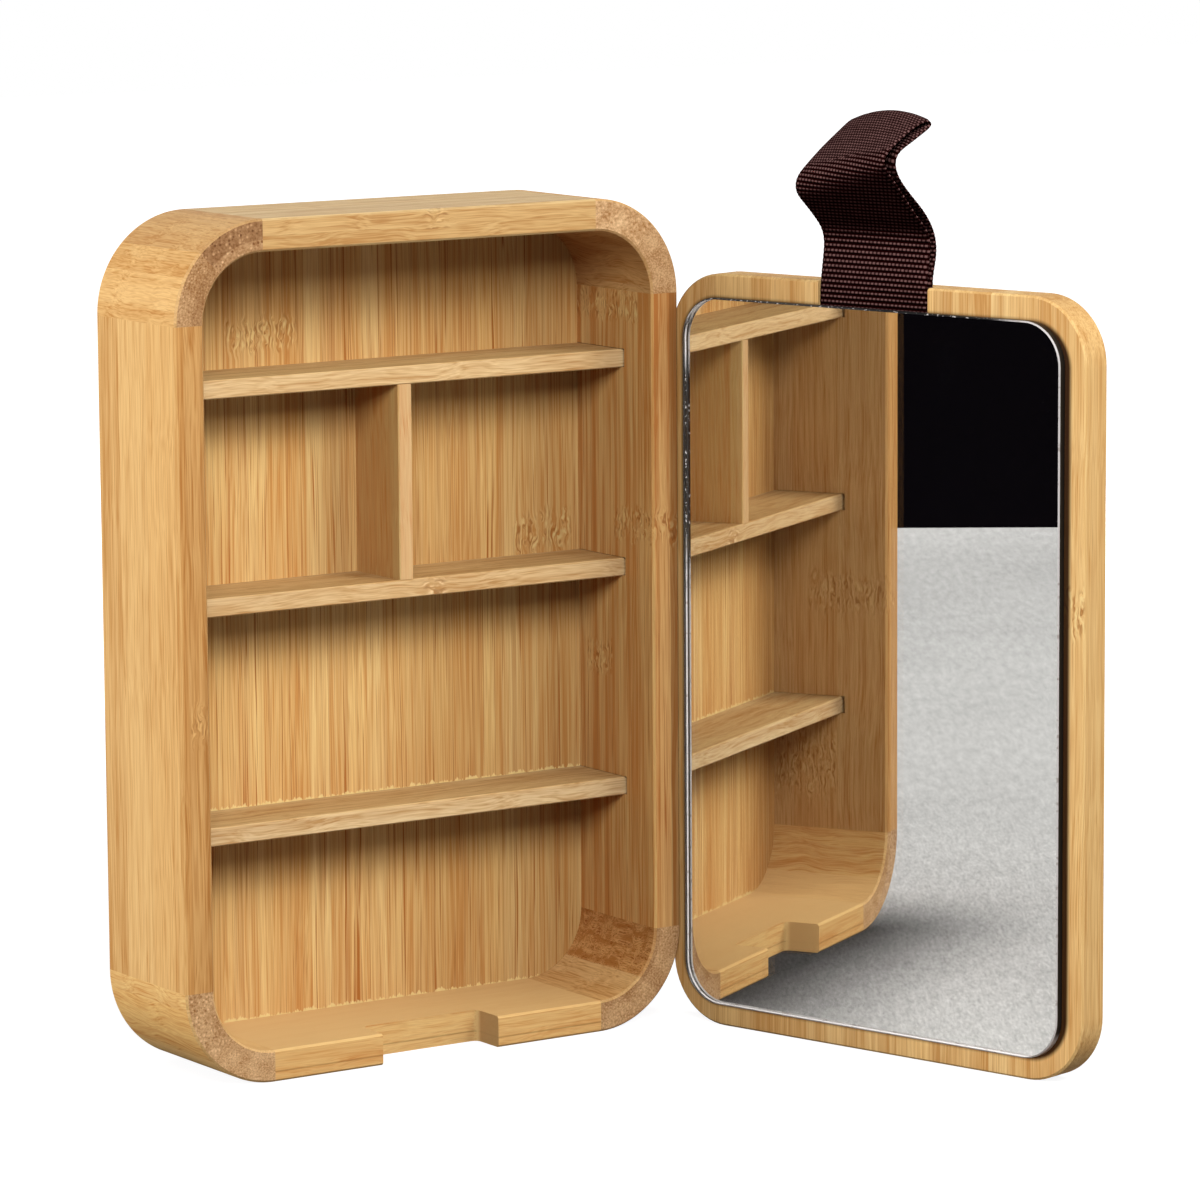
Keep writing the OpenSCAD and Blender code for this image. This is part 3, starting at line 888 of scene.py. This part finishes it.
def webbing_surface(settings):
    """Points of the webbing's two faces by column and row, then their length and side."""
    right, left = smooth_edge(RIGHT_EDGE), smooth_edge(LEFT_EDGE)
    width = settings.width / MM
    fold = sum(STRETCH_ROWS[:3]) + STRETCH_ROWS[3] // 2
    distance = np.abs(np.arange(sum(STRETCH_ROWS)) - fold)
    rise = np.clip(1 - distance / (STRETCH_ROWS[2] + 12), 0, 1)
    bulged = rise * rise * (3 - 2 * rise)
    lines, halves = [], []
    for k in range(COLUMNS):
        share_right = k / (COLUMNS - 1)
        line = left * (1 - share_right) + right * share_right
        line[:, 1] += FOLD_BULGE * 4 * share_right * (1 - share_right) * bulged
        reach = np.r_[0, np.cumsum(np.linalg.norm(np.diff(line, axis=0), axis=1))]
        lines.append((line, reach))
        halves.append(reach[fold])
    middle = float(np.mean(halves))
    rib = settings.rib_height / MM
    full = settings.thickness / MM - rib
    outer, inner, along, across = [], [], [], []
    for k, ((line, reach), half) in enumerate(zip(lines, halves)):
        # ribs stay square to the webbing on the front and close up evenly on the back
        ruled = np.where(reach <= half, reach,
                         half + (reach - half) * (2 * middle - half) / (reach[-1] - half))
        wanted = np.linspace(0, 2 * middle, ROWS)
        path = np.stack([np.interp(wanted, ruled, line[:, i]) for i in range(2)], 1)
        tangent = np.gradient(path, axis=0)
        tangent /= np.linalg.norm(tangent, axis=1)[:, None]
        outwards = np.stack([-tangent[:, 1], tangent[:, 0]], 1)
        # the strip is thinner at its selvedges
        edge = abs(2 * k / (COLUMNS - 1) - 1)
        round_off = 1 - math.sqrt(max(0.0, 1 - max(0.0, (edge - 0.93) / 0.07) ** 2))
        sunk = 0.5 * full * round_off * 0.6
        side = width * (k / (COLUMNS - 1) - 0.5)
        for faces, depth in ((outer, rib * 0.5 + sunk), (inner, rib * 0.5 + full - sunk)):
            at = path - outwards * depth
            faces.append([at_lid(LID_MIDDLE + side, v, z) for v, z in at])
        along.append(wanted)
        across.append(np.full(ROWS, side))
    return outer, inner, np.array(along), np.array(across)


def webbing_mesh(material):
    """Closed strip of webbing with its length and width kept as attributes in mm."""
    outer, inner, along, across = webbing_surface(bpy.context.scene.box_strap)
    points = [p for face in (outer, inner) for column in face for p in column]
    last, end = COLUMNS - 1, ROWS - 1

    def ring(*corners):
        """Four corners, each a face of the strip, a column and a row."""
        return [(face * COLUMNS + k) * ROWS + i for face, k, i in corners]

    faces = []
    for k in range(last):
        for i in range(end):
            faces.append(ring((0, k, i), (0, k + 1, i), (0, k + 1, i + 1), (0, k, i + 1)))
            faces.append(ring((1, k, i), (1, k, i + 1), (1, k + 1, i + 1), (1, k + 1, i)))
    for i in range(end):
        faces.append(ring((0, 0, i), (0, 0, i + 1), (1, 0, i + 1), (1, 0, i)))
        faces.append(ring((0, last, i), (1, last, i), (1, last, i + 1), (0, last, i + 1)))
    for k in range(last):
        faces.append(ring((0, k, 0), (1, k, 0), (1, k + 1, 0), (0, k + 1, 0)))
        faces.append(ring((0, k, end), (0, k + 1, end), (1, k + 1, end), (1, k, end)))
    obj = finish_mesh("pull_strap", points, faces, material)
    for name, values in (("along", along), ("across", across)):
        attribute = obj.data.attributes.new(name, "FLOAT", "POINT")
        attribute.data.foreach_set("value", np.tile(values.ravel(), 2).astype(np.float32))
    return obj


def on_flap(net, along, across):
    """Mask of the folded flap of the webbing."""
    return net.within(along - across * FLAP_SLANT, *FLAP, 2.0)


def rib_tree():
    """Geometry nodes that raise the ribs of the webbing along its length."""
    net, source, sink = new_group("Webbing Ribs", dict(
        Geometry="Geometry", Rib_Pitch="Float", Rib_Height="Float", Thread_Height="Float",
        Seed="Int", Material="Material"), dict(Geometry="Geometry"), "GeometryNodeTree")
    along, across = (net.add("GeometryNodeInputNamedAttribute", name, data_type="FLOAT")
                     for name in ("along", "across"))
    rows = along / source["Rib_Pitch"]
    crest = net.math("POWER", abs(net.math("SINE", rows * math.pi)), 0.8)
    rise = (crest - 0.5) * (source["Rib_Height"] * (on_flap(net, along, across) * -0.9 + 1.0))
    wander = net.noise(net.join(across, net.math("FLOOR", rows), source["Seed"]), 0.9)
    loose = (wander - 0.5) * source["Thread_Height"]
    selvedge = net.step(abs(across), *SELVEDGE) * -0.75 + 1.0
    offset = net.add("ShaderNodeVectorMath", net.add("GeometryNodeInputNormal"),
                     operation="SCALE", named={"Scale": (rise + loose) * selvedge * MM})
    moved = net.add("GeometryNodeSetPosition", named={
        "Geometry": source["Geometry"], "Offset": offset})
    whole = net.add("GeometryNodeRealizeInstances", moved)
    net.put(sink["Geometry"], net.add("GeometryNodeSetMaterial", named={
        "Geometry": whole, "Material": source["Material"]}))
    return net.tree


def applied(obj, tree, **values):
    """Runs a geometry tree on an object with its inputs set, and keeps the plain mesh."""
    modifier = obj.modifiers.new(tree.name, "NODES")
    modifier.node_group = tree
    sockets = {item.name: item.identifier for item in tree.interface.items_tree
               if item.item_type == "SOCKET" and item.in_out == "INPUT"}
    for key, value in values.items():
        modifier[sockets[key.replace("_", " ")]] = value
    depsgraph = bpy.context.evaluated_depsgraph_get()
    mesh = bpy.data.meshes.new_from_object(
        obj.evaluated_get(depsgraph), preserve_all_data_layers=True, depsgraph=depsgraph)
    obj.modifiers.remove(modifier)
    mesh.name = obj.name
    obj.data = mesh
    return obj


class BOX_OT_strap(bpy.types.Operator):
    """Weaves the pull strap as one folded length of ribbed webbing"""
    bl_idname = "storage_box.strap"
    bl_label = "Pull Strap"

    def execute(self, context):
        settings = context.scene.box_strap
        yarn, net, shader, _ = new_material("strap_webbing")
        along, across = (net.add("ShaderNodeAttribute", attribute_name=name, out="Fac")
                         for name in ("along", "across"))
        weave = use_group(net, "Webbing Weave", Along=along, Across=across,
                          Fine=on_flap(net, along, across),
                          Rib_Pitch=settings.rib_pitch / MM, Yarn=shade(settings.yarn))
        # painted shade: the faces that look downwards are painted darker
        shaded_underside = net.step(net.axes(net.normal())[2], 0.0, -0.4)
        bump = net.add("ShaderNodeBump", named={
            "Strength": 0.5, "Distance": 0.1 * MM, "Height": weave["Height"]})
        set_shader(net, shader, Normal=bump, Roughness=0.6, Specular_IOR_Level=0.0,
                   Base_Color=net.dyed(weave["Color"], (0.16, 0.12, 0.12, 1), shaded_underside))
        strap = applied(webbing_mesh(yarn), rib_tree(), Rib_Pitch=settings.rib_pitch / MM,
                        Rib_Height=settings.rib_height / MM,
                        Thread_Height=settings.thread_height / MM, Seed=THREAD_SEED, Material=yarn)
        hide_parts("strap_tail", "strap_loop")
        top = extent("lid_panel", UP)[1] / MM
        at_lid(LID_MIDDLE, 1.8, top - 1.0)
        at_lid(LID_MIDDLE, 1.8, top + 6.0)
        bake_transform(strap)
        return {"FINISHED"}


# Operators: the studio

CAMERA_PLACE = (-0.862818, -1.389808, 0.369669)
CAMERA_HEADING, CAMERA_PITCH, CAMERA_ROLL = 0.590957, -0.147059, -0.006789
CAMERA_LENS = 5845.393 * 36 / 1200

AIM = Vector((0.02, -0.02, 0.12))     # what the lights face
LIGHT_DISTANCE_M = 1.25
# Angles of each light from the front and over the floor, its size in metres, its setting
LIGHTS = {
    "key_light_left": (-27, 30, (0.6, 0.45), "key_power"),
    "key_light_right": (30, 39, (0.5, 0.45), "fill_power"),
    "side_light": (-107, 14, (0.6, 0.45), "side_power"),
    "rear_light": (140, 6, (0.6, 0.45), "rear_power"),
}
SKY_POWER = 0.02                      # of the sky as it lights, unseen
FLOOR_REACH_M = 4.0
CARD_COLOUR = (0.0045, 0.0036, 0.0052, 1)
# Middle of the dark card on the floor, another point on its foot, its half width and its height
CARD_MIDDLE, CARD_ALONG = Vector((-0.964, 0.2327, 0)), Vector((-0.9343, 0.2996, 0))
CARD_REACH_M, CARD_HEIGHT_M = 0.8, 0.9
# Heading in which the mirror sends the camera's view across the floor
MIRRORED = (-0.904, 0.428)


class BOX_OT_camera(bpy.types.Operator):
    """Puts the camera where the photograph was taken"""
    bl_idname = "storage_box.camera"
    bl_label = "Camera"

    def execute(self, context):
        a, e, r = CAMERA_HEADING, CAMERA_PITCH, CAMERA_ROLL
        forward = Vector((math.sin(a) * math.cos(e), math.cos(a) * math.cos(e), math.sin(e)))
        level = Vector((math.cos(a), -math.sin(a), 0))
        upward = level.cross(forward)
        right = level * math.cos(r) + upward * math.sin(r)
        upward = upward * math.cos(r) - level * math.sin(r)
        data = bpy.data.cameras.new("photo_camera")
        data.sensor_width, data.lens = 36, CAMERA_LENS
        data.clip_start, data.clip_end = 0.05, 20
        camera = bpy.data.objects.new("photo_camera", data)
        context.scene.collection.objects.link(camera)
        turn = Matrix((right, upward, -forward)).transposed().to_4x4()
        camera.matrix_world = Matrix.Translation(CAMERA_PLACE) @ turn
        context.scene.camera = camera
        return {"FINISHED"}


def soft_light(name, heading, height, size, power):
    """Rectangular studio light that faces the part and isn't seen itself."""
    a, e = math.radians(heading), math.radians(height)
    away = Vector((math.sin(a) * math.cos(e), -math.cos(a) * math.cos(e), math.sin(e)))
    data = bpy.data.lights.new(name, "AREA")
    data.shape, data.size, data.size_y = "RECTANGLE", size[0], size[1]
    data.energy = power
    light = bpy.data.objects.new(name, data)
    bpy.context.scene.collection.objects.link(light)
    place = Matrix.Translation(AIM + away * LIGHT_DISTANCE_M)
    light.matrix_world = place @ (-away).to_track_quat("-Z", "Y").to_matrix().to_4x4()
    light.visible_camera = False
    return light


class BOX_OT_studio(bpy.types.Operator):
    """Builds the floor, the dark card that the mirror sees, the lights and the sky"""
    bl_idname = "storage_box.studio"
    bl_label = "Studio"

    def execute(self, context):
        settings = context.scene.box_studio
        for name, (heading, height, size, watts) in LIGHTS.items():
            light = soft_light(name, heading, height, size, getattr(settings, watts))
            light.visible_glossy = name != "rear_light"
        self.floor(settings)
        self.card()
        self.sky(context)
        context.scene.view_settings.view_transform = "Standard"
        return {"FINISHED"}

    def floor(self, settings):
        """White floor, which the mirror shows as a grey, mottled table with a painted shadow,
        painted darker farther away.
        """
        material = bpy.data.materials.new("studio_floor")
        material.use_nodes = True
        material.node_tree.nodes.clear()
        net = Net(material.node_tree)
        place = object_place(net)
        away = net.along(place, (*MIRRORED, 0))
        beside = net.along(place, (-MIRRORED[1], MIRRORED[0], 0))
        reach = net.length(place)
        speckle = net.noise(net.join(away * 0.07, beside * 0.36, 0.0), detail=3.0, roughness=0.65)
        grain = net.noise(net.join(away * 0.22, beside, 0.0), roughness=0.6)
        cloud = net.noise(place, 0.012)
        level = (speckle - 0.5) * 0.7 + 1.0 + (cloud - 0.5) * 0.25
        level = (grain - 0.5) * net.step(reach, 420, 120) * 0.9 + level
        # painted light: the table is paler near the box and darker far off, as the light falls off
        level = level * (net.step(reach, 330, 950) * -0.7 + 1.24)
        # shadow of the box, by the distance from its footprint
        over = net.vector("SUBTRACT", net.vector("ABSOLUTE", place), (60, 21, 0))
        over = net.length(net.vector("MAXIMUM", over, (0, 0, 0)))
        level = level * (net.step(over, -16, 68) * 0.97 + 0.03)
        table = net.dyed(shade(settings.table), level)
        rays = net.add("ShaderNodeLightPath", out=None).outputs
        table = net.blend(rays["Is Diffuse Ray"], table, shade(settings.bounce))
        grey = net.add("ShaderNodeBsdfDiffuse", table)
        strength = net.step(reach, 350, 700) * 0.3 + 0.9
        white = net.add("ShaderNodeEmission", (1, 1, 1, 1), strength)
        pale = net.add("ShaderNodeBsdfDiffuse", (0.3, 0.3, 0.3, 1))
        seen = net.add("ShaderNodeAddShader", white, pale)
        both = net.add("ShaderNodeMixShader", rays["Is Camera Ray"], grey, seen)
        net.add("ShaderNodeOutputMaterial", both)
        far = FLOOR_REACH_M
        corners = [(-far, -far, 0), (far, -far, 0), (far, far, 0), (-far, far, 0)]
        floor = finish_mesh("studio_floor", corners, [[0, 1, 2, 3]], material, smooth=False)

    def card(self):
        """Dark card where the mirror sees the dark part of the room."""
        material, net, shader, _ = new_material("studio_card")
        set_shader(net, shader, Base_Color=CARD_COLOUR, Roughness=0.9, Specular_IOR_Level=0.0)
        reach = (CARD_ALONG - CARD_MIDDLE).normalized() * CARD_REACH_M
        corners = [CARD_MIDDLE - reach, CARD_MIDDLE + reach]
        points = corners + [corner + UP * CARD_HEIGHT_M for corner in reversed(corners)]
        card = finish_mesh("studio_card", points, [[0, 1, 2, 3]], material, smooth=False)
        card.visible_camera = card.visible_diffuse = card.visible_shadow = False

    def sky(self, context):
        """Sky that is white to look at and gives little light."""
        world = bpy.data.worlds.new("studio_sky")
        world.use_nodes = True
        world.node_tree.nodes.clear()
        net = Net(world.node_tree)
        rays = net.add("ShaderNodeLightPath", out=None).outputs
        seen = Value(net, rays["Is Camera Ray"]) + rays["Is Glossy Ray"]
        seen = net.clamped(seen + rays["Is Transmission Ray"])
        dim = net.add("ShaderNodeBackground", (1, 1, 1, 1), SKY_POWER)
        white = net.add("ShaderNodeBackground", (1, 1, 1, 1), 1.0)
        net.add("ShaderNodeOutputWorld", net.add("ShaderNodeMixShader", seen, dim, white))
        context.scene.world = world


OPERATORS = [
    BOX_OT_shared_nodes, BOX_OT_camera, BOX_OT_frame, BOX_OT_corners, BOX_OT_panel,
    BOX_OT_shelves, BOX_OT_lid, BOX_OT_mirror, BOX_OT_strap, BOX_OT_studio,
]


class BOX_PT_panel(bpy.types.Panel):
    """Sidebar panel with the settings and the steps"""
    bl_idname = "BOX_PT_panel"
    bl_label = "Storage Box"
    bl_space_type = "VIEW_3D"
    bl_region_type = "UI"
    bl_category = "Storage Box"

    def draw(self, context):
        for key, group in SETTINGS.items():
            box = self.layout.box()
            box.label(text=group.__doc__)
            for name in group.__annotations__:
                box.prop(getattr(context.scene, key), name)
        for operator in OPERATORS:
            self.layout.operator(operator.bl_idname)


def register():
    for cls in (*SETTINGS.values(), *OPERATORS, BOX_PT_panel):
        bpy.utils.register_class(cls)
    for key, group in SETTINGS.items():
        setattr(bpy.types.Scene, key, bpy.props.PointerProperty(type=group))


def unregister():
    for key in SETTINGS:
        delattr(bpy.types.Scene, key)
    for cls in reversed((*SETTINGS.values(), *OPERATORS, BOX_PT_panel)):
        bpy.utils.unregister_class(cls)


def main():
    register()
    for operator in OPERATORS:
        name = operator.bl_idname.split(".")[1]
        getattr(bpy.ops.storage_box, name)()


if __name__ == "__main__":
    main()
